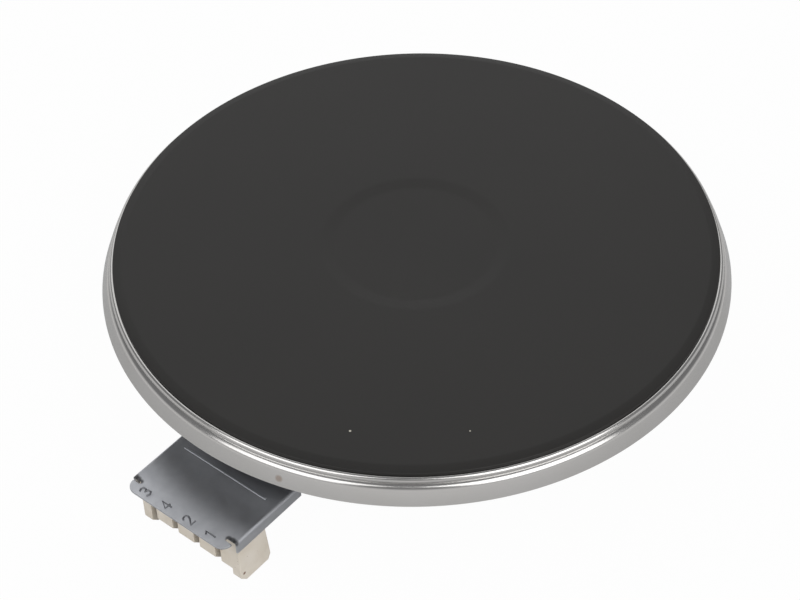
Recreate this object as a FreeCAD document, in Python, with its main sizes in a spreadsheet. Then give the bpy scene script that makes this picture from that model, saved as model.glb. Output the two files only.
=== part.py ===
"""Cast-iron hotplate for a hob, 220 mm, with its spill ring, heating coils and four-pole terminal block.

Frame: the origin is on the plate's axis, level with the hob's surface, where the spill ring stands.
+Z points up, out of the cooking surface, and the terminal bracket reaches out along -Y. Millimetres.
"""
import FreeCAD, Part
import os

import Sketcher

Vector = FreeCAD.Vector

# Straight runs that stand for the arc of the ring's bead and for the round of a sealed coil
BEAD_FLATS = 3
COIL_FLATS = 24

# Driving sizes: name, value or formula, meaning
SIZES = [
    # cast plate
    ("plate_radius", "110.2", "outer edge of the cast plate"),
    ("top_level", "11.7", "flat cooking surface"),
    ("bevel_width", "3.4", "width of the shallow bevel round the edge"),
    ("bevel_drop", "0.6", "fall of that bevel"),
    ("edge_land", "1.25", "height of the upright edge below the bevel"),
    ("seat_inset", "2.3", "turned seat that the spill ring grips, in from the plate's edge"),
    ("neck_inset", "0.7", "cast wall that passes through the hob's opening, in from that seat"),
    ("neck_depth", "6", "how far that wall reaches below the hob's surface"),
    ("rim_wall", "4.4", "thickness of the rim"),
    ("plate_wall", "4.6", "iron above the heating coils"),
    ("centre_radius", "33.3", "unheated centre, which is lowered"),
    ("centre_drop", "0.5", "depth of the lowered centre"),
    ("centre_slope", "1.6", "width of the slope round it"),
    ("centre_wall", "5.6", "iron in the unheated centre"),
    ("inner_rim_margin", "1.2", "outer face of the inner rim, out from the unheated centre"),
    ("inner_rim_wall", "4", "thickness of the inner rim"),
    ("inner_rim_depth", "2.4", "how far the inner rim reaches below the hob's surface"),
    ("boss_radius", "9.5", "centre boss"),
    ("boss_depth", "5", "how far the boss reaches below the hob's surface"),
    # spill ring
    ("ring_sheet", "0.5", "stainless sheet of the spill ring"),
    ("bead_radius", "1.65", "rolled bead of the ring"),
    ("bead_inset", "0.15", "middle of the bead in from the plate's edge"),
    ("bead_turn", "128", "degrees that the bead turns through, down to the waist above the skirt"),
    ("foot_overhang", "4.8", "how far the foot of the ring stands out past the plate's edge"),
    # heating
    ("compound_level", "0.1", "lower face of the pressed insulating compound"),
    ("coil_size", "4.4", "height and width of a wound heating coil"),
    ("coil_cover", "1.4", "compound between a coil and the iron above"),
    ("coil_margin", "13", "middle of the inner coil out from the inner rim"),
    ("coil_edge", "13.3", "middle of the outer coil in from the rim"),
    ("coil_opening", "4", "opening between the two ends of a coil"),
    # bottom cover
    ("cover_sheet", "0.6", "sheet of the bottom cover"),
    ("cover_inset", "1.8", "edge of the cover in from the neck, on whose rim it stands"),
    ("cover_wall_lean", "2.6", "inward lean of the cover's wall"),
    ("cover_depth", "12.6", "cover's flat floor below the hob's surface"),
    ("dimple_radius", "31", "mouth of the dimple round the stud"),
    ("dimple_flat", "15", "flat seat inside the dimple"),
    ("dimple_top", "=-boss_depth", "seat of the dimple on the boss"),
    # centre stud and nut
    ("stud_radius", "4", "M8 stud"),
    ("stud_in_boss", "8", "length screwed into the boss"),
    ("stud_free", "22", "threaded length left below the nut"),
    ("stud_relief", "1.2", "length of the relief under the nut"),
    ("stud_relief_depth", "0.6", "depth of that relief"),
    ("stud_chamfer", "0.8", "chamfer on the stud's end"),
    ("thread_gap", "0.05", "play between a thread and its hole"),
    ("hole_play", "0.3", "play round the stud and the screws in plain holes"),
    ("nut_size", "6.5", "height of the nut"),
    ("nut_flats", "13", "nut across flats"),
    # terminal bracket
    ("bracket_width", "48.8", "width over the side flanges"),
    ("bracket_drop", "20", "top face of the bracket below the hob's surface"),
    ("bracket_sheet", "0.8", "galvanised sheet of the bracket"),
    ("flange_height", "5.3", "side flange with the sheet's thickness"),
    ("flange_bend", "1.2", "outer radius of the flange's bend"),
    ("bend_inset", "8.8", "outer end of the step up to the cover, in from the edge of the cover's floor"),
    ("flange_length", "33.4", "flanges from that step out to the flat lip"),
    ("lip_length", "4.7", "flat outer lip"),
    ("step_run", "8", "length of that step"),
    ("pad_margin", "6", "inner end of the pad on the cover, in from the earth screw"),
    ("pad_width", "46", "width of the pad"),
    ("corner_radius", "4", "rounded corners of the lip"),
    ("notch_width", "1.2", "relief notch between each flange and the lip"),
    ("notch_place", "20", "distance of the notch's inner end from the middle"),
    ("crease_place", "11.9", "stiffening crease out from the step"),
    ("crease_length", "38", "length of the crease"),
    ("crease_width", "1", "width of the crease"),
    ("crease_height", "0.3", "height of the crease"),
    # ceramic terminal block
    ("block_play", "0.4", "play of the block between the flanges"),
    ("block_setback", "2", "outer face of the block in from the ends of the flanges"),
    ("block_thickness", "13", "thickness of the block at its top"),
    ("block_lean", "2.1", "how far the inner face leans in down to the block's foot"),
    ("block_depth", "23.4", "height of the block"),
    ("block_chamfer", "2.6", "chamfer along the block's foot"),
    ("pole_pitch", "10.2", "step from one terminal to the next"),
    ("chamber_width", "7.8", "width and length of a terminal chamber"),
    ("chamber_roof", "7", "solid ceramic above the chambers"),
    ("front_wall", "2.2", "wall in front of the chambers"),
    ("wire_slot", "2.6", "width of the slot in that wall that takes a wire, beside the screw"),
    ("wall_step", "3", "how much shorter the inner walls are than the end walls"),
    # contacts, screws and leads
    ("contact_width", "6.4", "contact bar"),
    ("contact_sheet", "1.2", "thickness of a contact bar"),
    ("contact_gap", "0.6", "room between a contact bar and the wall in front"),
    ("contact_tail", "3.4", "part of the bar behind the block"),
    ("contact_play", "0.1", "play of a bar in its slot"),
    ("screw_radius", "2", "M4 screw"),
    ("screw_length", "4.2", "length under the head"),
    ("head_radius", "3.5", "screw head"),
    ("head_height", "2.6", "height of the head"),
    ("clamp_size", "7", "square clamp washer"),
    ("clamp_sheet", "1", "thickness of a clamp washer"),
    ("lead_width", "2.4", "flat nickel lead"),
    ("lead_sheet", "0.8", "thickness of a lead"),
    ("lead_crossing", "4", "leads inside the cover run this far below the hob's surface"),
    ("lead_overlap", "2.4", "end of a lead welded on its contact bar"),
    ("relief_size", "4.8", "width of the pocket above a terminal screw"),
    ("relief_depth", "2.8", "depth of that pocket"),
    ("slot_width", "0.9", "screwdriver slot"),
    ("slot_depth", "1", "depth of that slot"),
    ("lead_play", "0.15", "play of a lead in the ceramic bush"),
    # ceramic bush that takes the leads through the cover
    ("bush_setback", "26", "middle of the bush in from the outer end of the bracket's step"),
    ("bush_length", "38", "length of the bush below its shoulder"),
    ("bush_width", "7.4", "width of the bush below its shoulder"),
    ("bush_shoulder", "1.8", "overhang and height of the shoulder"),
    ("bush_below", "5.2", "length of the bush under the cover's floor"),
    ("bush_play", "0.25", "play of the bush in the cover and the pad"),
    # earth screw
    ("earth_distance", "12", "earth screw in from the middle of the bush"),
    ("earth_nut_size", "7", "square nut of the earth screw"),
    ("earth_nut_height", "3.2", "height of that nut"),
    ("earth_screw_length", "8", "length under the head of the earth screw"),
    # places and levels worked out from the sizes above
    ("foot_radius", "=plate_radius + foot_overhang", ""),
    ("bead_centre", "=plate_radius - bead_inset", ""),
    ("seat_radius", "=plate_radius - seat_inset", ""),
    ("neck_radius", "=seat_radius - neck_inset", ""),
    ("rim_inside", "=neck_radius - rim_wall", ""),
    ("inner_rim_radius", "=centre_radius + inner_rim_margin", ""),
    ("coil_first", "=inner_rim_radius + coil_margin", ""),
    ("coil_third", "=rim_inside - coil_edge", ""),
    ("coil_second", "=(coil_first + coil_third) / 2", ""),
    ("cover_radius", "=neck_radius - cover_inset", ""),
    ("cover_floor_radius", "=cover_radius - cover_wall_lean", ""),
    ("bend_reach", "=cover_floor_radius - bend_inset", ""),
    ("bush_reach", "=bend_reach - bush_setback", ""),
    ("earth_reach", "=bush_reach - earth_distance", ""),
    ("pad_reach", "=earth_reach - pad_margin", ""),
    ("flange_reach", "=bend_reach + flange_length", ""),
    ("bracket_reach", "=flange_reach + lip_length", ""),
    ("crease_reach", "=bend_reach + crease_place", ""),
    ("block_reach", "=flange_reach - block_setback", ""),
    ("block_inner_reach", "=block_reach - block_thickness", ""),
    ("block_inner_foot", "=block_inner_reach - block_lean", ""),
    ("bevel_level", "=top_level - bevel_drop", ""),
    ("flat_radius", "=plate_radius - bevel_width", ""),
    ("land_level", "=bevel_level - edge_land", ""),
    ("rim_level", "=-neck_depth", ""),
    ("roof_level", "=top_level - plate_wall", ""),
    ("centre_level", "=top_level - centre_drop", ""),
    ("centre_floor", "=centre_radius - centre_slope", ""),
    ("centre_roof", "=centre_level - centre_wall", ""),
    ("inner_rim_level", "=-inner_rim_depth", ""),
    ("inner_rim_inside", "=inner_rim_radius - inner_rim_wall", ""),
    ("boss_level", "=-boss_depth", ""),
    ("stud_top", "=stud_in_boss - boss_depth", ""),
    ("bore_radius", "=stud_radius + thread_gap", ""),
    *[(f"bead_{flat}_radius", f"=bead_centre + bead_radius * sin(bead_turn * {flat} / {BEAD_FLATS})", "")
      for flat in range(1, BEAD_FLATS + 1)],
    *[(f"bead_{flat}_level", f"=land_level - bead_radius * (1 - cos(bead_turn * {flat} / {BEAD_FLATS}))", "")
      for flat in range(1, BEAD_FLATS + 1)],
    ("coil_top", "=roof_level - coil_cover", ""),
    ("coil_foot", "=coil_top - coil_size", ""),
    ("cover_floor", "=-cover_depth", ""),
    ("stud_hole", "=stud_radius + hole_play", ""),
    ("nut_level", "=dimple_top - cover_sheet", ""),
    ("nut_foot", "=nut_level - nut_size", ""),
    ("relief_radius", "=stud_radius - stud_relief_depth", ""),
    ("relief_foot", "=nut_foot - stud_relief", ""),
    ("stud_foot", "=relief_foot - stud_free", ""),
    ("stud_end_radius", "=stud_radius - stud_chamfer", ""),
    ("stud_end_level", "=stud_foot + stud_chamfer", ""),
    ("pad_level", "=cover_floor - cover_sheet", ""),
    ("bracket_level", "=-bracket_drop", ""),
    ("bracket_under", "=bracket_level - bracket_sheet", ""),
    ("flange_level", "=bracket_level - flange_height", ""),
    ("block_foot", "=bracket_under - block_depth", ""),
    ("chamber_level", "=bracket_under - chamber_roof", ""),
    ("contact_level", "=chamber_level - contact_sheet", ""),
    ("clamp_level", "=contact_level - clamp_sheet", ""),
    ("wall_level", "=block_foot + wall_step", ""),
    ("bracket_half", "=bracket_width / 2", ""),
    ("flange_inside", "=bracket_half - bracket_sheet", ""),
    ("bend_start", "=bracket_half - flange_bend", ""),
    ("bend_level", "=bracket_level - flange_bend", ""),
    ("bend_inside", "=flange_bend - bracket_sheet", ""),
    ("bend_lap", "=bend_reach + 2 * bracket_sheet", ""),
    ("step_reach", "=bend_reach - step_run", ""),
    ("block_half", "=flange_inside - block_play", ""),
    ("block_chamfer_level", "=block_foot + block_chamfer", ""),
    ("block_foot_outside", "=block_reach - block_chamfer", ""),
    ("block_foot_inside", "=block_inner_foot + block_chamfer / 2", ""),
    ("inner_chamfer_level", "=block_chamfer_level + wall_step", ""),
    ("inner_width", "=3 * pole_pitch + chamber_width", ""),
    ("screw_reach", "=block_reach - front_wall - chamber_width / 2", ""),
    ("lead_crossing_level", "=-lead_crossing", ""),
    ("lead_run_level", "=chamber_level", ""),
    ("contact_inner", "=block_inner_reach - contact_tail", ""),
    ("lead_end", "=contact_inner + lead_overlap", ""),
    ("link_place", "=1.5 * pole_pitch", ""),
    ("near_place", "=0.5 * pole_pitch", ""),
    ("lead_2_start", "=sqrt(coil_first ^ 2 - near_place ^ 2)", ""),
    ("lead_3_start", "=sqrt(coil_third ^ 2 - near_place ^ 2)", ""),
    ("inner_link_reach", "=sqrt(coil_first ^ 2 - link_place ^ 2)", ""),
    ("middle_link_reach", "=sqrt(coil_second ^ 2 - link_place ^ 2)", ""),
    ("outer_link_reach", "=sqrt(coil_third ^ 2 - link_place ^ 2)", ""),
    ("lead_middle", "=bush_reach + lead_sheet / 2", ""),
    ("contact_length", "=block_reach - front_wall - contact_gap - contact_inner", ""),
    ("contact_middle", "=contact_inner + contact_length / 2", ""),
    ("pad_under", "=pad_level - bracket_sheet", ""),
    ("link_level", "=compound_level - lead_sheet", ""),
]

POLES = (1, 2, 3, 4)
COILS = {"inner": "coil_first", "middle": "coil_second", "outer": "coil_third"}
SIDES = (("left", -1), ("right", 1))
# Leads that start at a coil of their own, with the size that says how far out; lead 4 starts at the common link
LEAD_STARTS = {1: "bush_reach", 2: "lead_2_start", 3: "lead_3_start"}

doc = FreeCAD.newDocument("Hotplate")
sheet = doc.addObject("Spreadsheet::Sheet", "Sizes")
for row, (alias, value, _) in enumerate(SIZES, start=1):
    sheet.set(f"A{row}", alias)
    sheet.set(f"B{row}", value)
    sheet.setAlias(f"B{row}", alias)
doc.recompute()


def size(alias):
    """Value of one named size."""
    return float(sheet.get(alias))


def named(alias):
    """Expression that reads one named size, with an optional leading minus."""
    if alias.startswith("-"):
        return f"-Sizes.{alias[1:]}"
    return f"Sizes.{alias}"


def coordinate(alias):
    """Value of a corner's coordinate: 0, a size, or a size with a leading minus."""
    if alias == "0":
        return 0.0
    if alias.startswith("-"):
        return -size(alias[1:])
    return size(alias)


def bind(sketch, constraint, expression=None):
    """Add a constraint and tie it to a size."""
    index = sketch.addConstraint(constraint)
    if expression is not None:
        sketch.setExpression(f"Constraints[{index}]", expression)


def draw(sketch, corners, closed=True):
    """Draw a profile through corners given as pairs of size names.

    A corner may hold a third and a fourth value, the size that is the radius of the arc to the next
    corner and the side that it bulges to: 1 left of the way there, -1 right of it.
    """
    points = [Vector(coordinate(corner[0]), coordinate(corner[1]), 0) for corner in corners]
    edges = len(corners) if closed else len(corners) - 1
    ends = []
    for index in range(edges):
        start = points[index]
        finish = points[(index + 1) % len(points)]
        if len(corners[index]) == 2:
            sketch.addGeometry(Part.LineSegment(start, finish))
            ends.append((1, 2))
            continue
        radius = coordinate(corners[index][2])
        side = corners[index][3]
        chord = finish - start
        sagitta = radius - (radius ** 2 - (chord.Length / 2) ** 2) ** 0.5
        across = Vector(-chord.y, chord.x, 0).normalize() * sagitta * side
        arc = Part.Arc(start, (start + finish) * 0.5 + across, finish)
        sketch.addGeometry(arc)
        forward = sketch.getPoint(index, 1).distanceToPoint(start) < 1e-6
        ends.append((1, 2) if forward else (2, 1))
        bind(sketch, Sketcher.Constraint("Radius", index, radius), named(corners[index][2]))
    for index in range(edges):
        following = (index + 1) % edges
        if closed or following:
            bind(sketch, Sketcher.Constraint("Coincident", index, ends[index][1], following, ends[following][0]))
    for index, corner in enumerate(corners):
        edge, end = (index, ends[index][0]) if index < edges else (index - 1, ends[index - 1][1])
        for kind, alias in zip(("DistanceX", "DistanceY"), corner):
            expression = None if alias == "0" else named(alias)
            bind(sketch, Sketcher.Constraint(kind, edge, end, coordinate(alias)), expression)
    return sketch


def body_sketch(body, name, plane, corners):
    """Closed sketch on one of the body's own origin planes."""
    sketch = body.newObject("Sketcher::SketchObject", name)
    for feature in body.Origin.OriginFeatures:
        if feature.Role == plane:
            sketch.AttachmentSupport = [(feature, "")]
    sketch.MapMode = "FlatFace"
    return draw(sketch, corners)


def turned(label, corners):
    """Body turned about the plate's axis from a half section of (radius, level) corners."""
    body = doc.addObject("PartDesign::Body", label)
    sketch = body_sketch(body, f"{label}_section", "XZ_Plane", corners)
    revolution = body.newObject("PartDesign::Revolution", f"{label}_turned")
    revolution.Profile = sketch
    revolution.ReferenceAxis = (sketch, ["V_Axis"])
    revolution.Angle = 360
    doc.recompute()
    return body


def standing_sketch(name, corners, plane, closed=False):
    """Sketch upright on the axis, in the plane XZ or YZ."""
    sketch = doc.addObject("Sketcher::SketchObject", name)
    upright = FreeCAD.Rotation(Vector(1, 0, 0), 90)
    if plane == "YZ":
        upright = FreeCAD.Rotation(Vector(0, 0, 1), 90).multiply(upright)
    sketch.Placement = FreeCAD.Placement(Vector(0, 0, 0), upright)
    return draw(sketch, corners, closed)


def sheet_section(label, corners, thickness, plane="XZ"):
    """Section of a pressed sheet: an open line given its thickness to one side."""
    section = doc.addObject("Part::Offset2D", f"{label}_section")
    section.Source = standing_sketch(f"{label}_line", corners, plane)
    section.Mode = "Skin"
    section.Join = "Intersection"
    section.Fill = True
    section.setExpression("Value", thickness)
    return section


def spun(label, section):
    """Solid of a section turned once round the plate's axis."""
    solid = doc.addObject("Part::Revolution", label)
    solid.Source = section
    solid.Axis = Vector(0, 0, 1)
    solid.Angle = 360
    solid.Solid = True
    return solid


def extruded(label, section, direction, length):
    """Solid of a section drawn out along a direction, half the length to each side."""
    solid = doc.addObject("Part::Extrusion", label)
    solid.Base = section
    solid.DirMode = "Custom"
    solid.Dir = direction
    solid.Solid = True
    solid.Symmetric = True
    solid.setExpression("LengthFwd", length)
    return solid


def placed(solid, x="0", y="0", z="0"):
    """Tie a primitive's place to the sizes."""
    for axis, expression in zip("xyz", (x, y, z)):
        solid.setExpression(f".Placement.Base.{axis}", expression)
    return solid


def box(name, length, width, height, x="0", y="0", z="0"):
    """Box whose middle in X and Y lies at x and y, and whose lower face lies at z."""
    solid = doc.addObject("Part::Box", name)
    solid.setExpression("Length", length)
    solid.setExpression("Width", width)
    solid.setExpression("Height", height)
    return placed(solid, f"({x}) - ({length}) / 2", f"({y}) - ({width}) / 2", z)


def cylinder(name, radius, height, x="0", y="0", z="0"):
    """Upright cylinder with its lower end at x, y, z."""
    solid = doc.addObject("Part::Cylinder", name)
    solid.setExpression("Radius", radius)
    solid.setExpression("Height", height)
    return placed(solid, x, y, z)


def prism(name, sides, radius, height, z):
    """Upright prism on the plate's axis with its lower end at z."""
    solid = doc.addObject("Part::Prism", name)
    solid.Polygon = sides
    solid.setExpression("Circumradius", radius)
    solid.setExpression("Height", height)
    return placed(solid, z=z)


def fused(label, *solids):
    """One solid made of several that meet."""
    result = doc.addObject("Part::MultiFuse", label)
    result.Shapes = list(solids)
    result.Refine = True
    return result


def cut(label, base, *tools):
    """The base without what the tools take away."""
    result = doc.addObject("Part::Cut", label)
    result.Base = base
    result.Tool = tools[0] if len(tools) == 1 else fused(f"{label}_tools", *tools)
    return result


def pole_place(pole):
    """Expression of the x at which a terminal lies; terminal 1 is at the +X end."""
    return f"{2.5 - pole} * Sizes.pole_pitch"


def hotplate_body():
    """Iron casting: cooking surface, rims, centre boss and the bore for the stud."""
    return turned("hotplate_body", [
        ("0", "centre_level"), ("centre_floor", "centre_level"), ("centre_radius", "top_level"),
        ("flat_radius", "top_level"), ("plate_radius", "bevel_level"), ("plate_radius", "land_level"),
        ("seat_radius", "land_level"), ("seat_radius", "0"), ("neck_radius", "0"), ("neck_radius", "rim_level"),
        ("rim_inside", "rim_level"),
        ("rim_inside", "roof_level"), ("inner_rim_radius", "roof_level"), ("inner_rim_radius", "inner_rim_level"),
        ("inner_rim_inside", "inner_rim_level"), ("inner_rim_inside", "centre_roof"), ("boss_radius", "centre_roof"),
        ("boss_radius", "boss_level"), ("bore_radius", "boss_level"), ("bore_radius", "stud_top"), ("0", "stud_top"),
    ])


def spill_ring():
    """Pressed stainless ring: flange gripped under the plate's edge, rolled bead and flared skirt."""
    bead = [(f"bead_{flat}_radius", f"bead_{flat}_level") for flat in range(1, BEAD_FLATS + 1)]
    line = [
        ("seat_radius", "land_level"), ("bead_centre", "land_level"), *bead, ("foot_radius", "0"),
    ]
    rolled = spun("ring_rolled", sheet_section("ring", line, "-Sizes.ring_sheet"))
    below = cylinder("ring_foot_trim", "Sizes.foot_radius + 2", "2", z="-2")
    return cut("spill_ring", rolled, below)


def bottom_cover():
    """Pressed cover that closes the plate from below, with a dimple up to the boss."""
    line = [
        ("cover_radius", "rim_level"), ("cover_floor_radius", "cover_floor"), ("dimple_radius", "cover_floor"),
        ("dimple_flat", "dimple_top"), ("stud_hole", "dimple_top"),
    ]
    pressed = spun("cover_pressing", sheet_section("cover", line, "Sizes.cover_sheet"))
    window = box("cover_window", "Sizes.bush_length + 2 * Sizes.bush_play", "Sizes.bush_width + 2 * Sizes.bush_play",
                 "4 * Sizes.cover_sheet", y="-Sizes.bush_reach", z="Sizes.cover_floor - 2 * Sizes.cover_sheet")
    above = cut("cover_edge_trim",
                cylinder("edge_trim_outside", "Sizes.neck_radius", "2 * Sizes.cover_sheet", z="Sizes.rim_level"),
                cylinder("edge_trim_inside", "Sizes.cover_floor_radius", "2 * Sizes.cover_sheet", z="Sizes.rim_level"))
    return cut("bottom_cover", pressed, window, above, earth_hole("cover"))


def heating_coil(name):
    """Wound heating coil, as the square ring that encloses its turns, open where its two ends lie."""
    middle = f"Sizes.{COILS[name]}"
    outside = prism(f"{name}_coil_outside", COIL_FLATS, f"{middle} + Sizes.coil_size / 2", "Sizes.coil_size",
                    "Sizes.coil_foot")
    inside = prism(f"{name}_coil_inside", COIL_FLATS, f"{middle} - Sizes.coil_size / 2", "3 * Sizes.coil_size",
                   "Sizes.coil_foot - Sizes.coil_size")
    opening = box(f"{name}_coil_opening", "Sizes.coil_opening", "Sizes.coil_size * 2", "3 * Sizes.coil_size",
                  y=f"-{middle}", z="Sizes.coil_foot - Sizes.coil_size")
    return cut(f"heating_coil_{name}", outside, inside, opening)


def embedding_compound(coils):
    """Pressed insulating compound that fills the channel round the coils."""
    pressed = turned("compound_pressing", [
        ("inner_rim_radius", "roof_level"), ("inner_rim_radius", "compound_level"),
        ("rim_inside", "compound_level"), ("rim_inside", "roof_level"),
    ])
    cover = "Sizes.coil_foot - Sizes.compound_level"
    ways = [
        box(f"way_of_lead_{pole}", "Sizes.lead_width", "Sizes.lead_sheet", cover,
            pole_place(pole), f"-(Sizes.{LEAD_STARTS[pole]} + Sizes.lead_sheet / 2)", "Sizes.compound_level")
        for pole in LEAD_STARTS
    ]
    ways += [
        box(f"way_of_{name}_post", "Sizes.lead_width", "Sizes.lead_width", cover,
            "-Sizes.link_place", f"-Sizes.{name}_link_reach", "Sizes.compound_level")
        for name in COILS
    ]
    return cut("embedding_compound", pressed, *coils, *ways)


def common_link():
    """Strip under the compound that joins one end of each coil, with a post up to each."""
    strip = box("link_strip", "Sizes.lead_width",
                "Sizes.outer_link_reach - Sizes.inner_link_reach + Sizes.lead_width", "Sizes.lead_sheet",
                "-Sizes.link_place", "-(Sizes.outer_link_reach + Sizes.inner_link_reach) / 2", "Sizes.link_level")
    posts = [
        box(f"{name}_link_post", "Sizes.lead_width", "Sizes.lead_width", "Sizes.coil_foot - Sizes.link_level",
            "-Sizes.link_place", f"-Sizes.{name}_link_reach", "Sizes.link_level")
        for name in COILS
    ]
    return fused("common_link", strip, *posts)


def lead(pole):
    """Flat lead from its coil down through the bush and out to its contact bar."""
    start = LEAD_STARTS.get(pole, "bush_reach")
    top = "coil_foot" if pole in LEAD_STARTS else "link_level"
    line = [(f"-{start}", top)]
    if start != "bush_reach":
        line += [(f"-{start}", "lead_crossing_level"), ("-bush_reach", "lead_crossing_level")]
    line += [("-bush_reach", "lead_run_level"), ("-lead_end", "lead_run_level")]
    section = sheet_section(f"lead_{pole}", line, "Sizes.lead_sheet", "YZ")
    band = extruded(f"lead_{pole}", section, Vector(1, 0, 0), "Sizes.lead_width")
    return placed(band, x=pole_place(pole))


def lead_bush():
    """Ceramic bush that stands in the cover's floor, with a slot for each lead."""
    shoulder = box("bush_shoulder_part", "Sizes.bush_length + 2 * Sizes.bush_shoulder",
                   "Sizes.bush_width + 2 * Sizes.bush_shoulder", "Sizes.bush_shoulder",
                   y="-Sizes.bush_reach", z="Sizes.cover_floor")
    shank = box("bush_shank_part", "Sizes.bush_length", "Sizes.bush_width", "Sizes.bush_below",
                y="-Sizes.bush_reach", z="Sizes.cover_floor - Sizes.bush_below")
    slots = [
        box(f"bush_slot_{pole}", "Sizes.lead_width + 2 * Sizes.lead_play", "Sizes.lead_sheet + 2 * Sizes.lead_play",
            "2 * Sizes.bush_shoulder + 2 * Sizes.bush_below", pole_place(pole), "-Sizes.lead_middle",
            "Sizes.cover_floor - 1.5 * Sizes.bush_below")
        for pole in POLES
    ]
    return cut("lead_bush", fused("bush_blank", shoulder, shank), *slots)


def centre_stud():
    """Threaded stud in the plate's boss, which fixes the cover and the plate."""
    return turned("centre_stud", [
        ("0", "stud_foot"), ("stud_end_radius", "stud_foot"), ("stud_radius", "stud_end_level"),
        ("stud_radius", "relief_foot"), ("relief_radius", "relief_foot"), ("relief_radius", "nut_foot"),
        ("stud_radius", "nut_foot"), ("stud_radius", "stud_top"), ("0", "stud_top"),
    ])


def stud_nut():
    """Hexagon nut that holds the cover to the boss."""
    hexagon = prism("nut_hexagon", 6, "Sizes.nut_flats / sqrt(3)", "Sizes.nut_size", "Sizes.nut_foot")
    hole = cylinder("nut_hole", "Sizes.bore_radius", "3 * Sizes.nut_size", z="Sizes.nut_foot - Sizes.nut_size")
    return cut("stud_nut", hexagon, hole)


def terminal_bracket():
    """Folded bracket: flanged outer plate, step up to the cover and pad welded under its floor."""
    channel = [
        ("-bracket_half", "flange_level"), ("-bracket_half", "bend_level", "flange_bend", 1),
        ("-bend_start", "bracket_level"), ("bend_start", "bracket_level", "flange_bend", 1),
        ("bracket_half", "bend_level"), ("bracket_half", "flange_level"),
        ("flange_inside", "flange_level"), ("flange_inside", "bend_level", "bend_inside", -1),
        ("bend_start", "bracket_under"), ("-bend_start", "bracket_under", "bend_inside", -1),
        ("-flange_inside", "bend_level"), ("-flange_inside", "flange_level"),
    ]
    plate = extruded("bracket_plate", standing_sketch("bracket_channel", channel, "XZ", closed=True),
                     Vector(0, 1, 0), "Sizes.flange_reach - Sizes.bend_reach")
    placed(plate, y="-(Sizes.flange_reach + Sizes.bend_reach) / 2")
    lip = box("bracket_lip", "2 * Sizes.bend_start", "Sizes.bracket_reach - Sizes.flange_reach",
              "Sizes.bracket_sheet", y="-(Sizes.bracket_reach + Sizes.flange_reach) / 2", z="Sizes.bracket_under")
    steps = [
        ("-bend_lap", "bracket_level"), ("-bend_reach", "bracket_level"), ("-step_reach", "pad_level"),
        ("-pad_reach", "pad_level"),
    ]
    pad = extruded("bracket_pad", sheet_section("bracket_pad", steps, "Sizes.bracket_sheet", "YZ"),
                   Vector(1, 0, 0), "Sizes.pad_width")
    crease = box("bracket_crease", "Sizes.crease_length", "Sizes.crease_width", "Sizes.crease_height",
                 y="-Sizes.crease_reach", z="Sizes.bracket_level")
    tools = [
        box("pad_window", "Sizes.bush_length + 2 * Sizes.bush_play", "Sizes.bush_width + 2 * Sizes.bush_play",
            "4 * Sizes.bracket_sheet", y="-Sizes.bush_reach", z="Sizes.pad_level - 2 * Sizes.bracket_sheet"),
        earth_hole("pad"),
    ]
    for side, sign in SIDES:
        tools.append(box(f"bracket_notch_{side}", "Sizes.bracket_half", "Sizes.notch_width",
                         "3 * Sizes.flange_height", f"{sign} * (Sizes.notch_place + Sizes.bracket_half / 2)",
                         "-Sizes.flange_reach", "Sizes.flange_level - Sizes.flange_height"))
        tools.append(corner_tool(side, sign))
    return cut("terminal_bracket", fused("bracket_blank", plate, lip, pad, crease), *tools)


def corner_tool(side, sign):
    """Cutter that rounds one corner of the bracket's lip."""
    square = box(f"corner_square_{side}", "2 * Sizes.corner_radius", "2 * Sizes.corner_radius",
                 "3 * Sizes.bracket_sheet", f"{sign} * Sizes.bend_start", "-Sizes.bracket_reach",
                 "Sizes.bracket_under - Sizes.bracket_sheet")
    round_part = cylinder(f"corner_round_{side}", "Sizes.corner_radius", "3 * Sizes.bracket_sheet",
                          f"{sign} * (Sizes.bend_start - Sizes.corner_radius)",
                          "-(Sizes.bracket_reach - Sizes.corner_radius)", "Sizes.bracket_under - Sizes.bracket_sheet")
    return cut(f"corner_tool_{side}", square, round_part)


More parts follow.
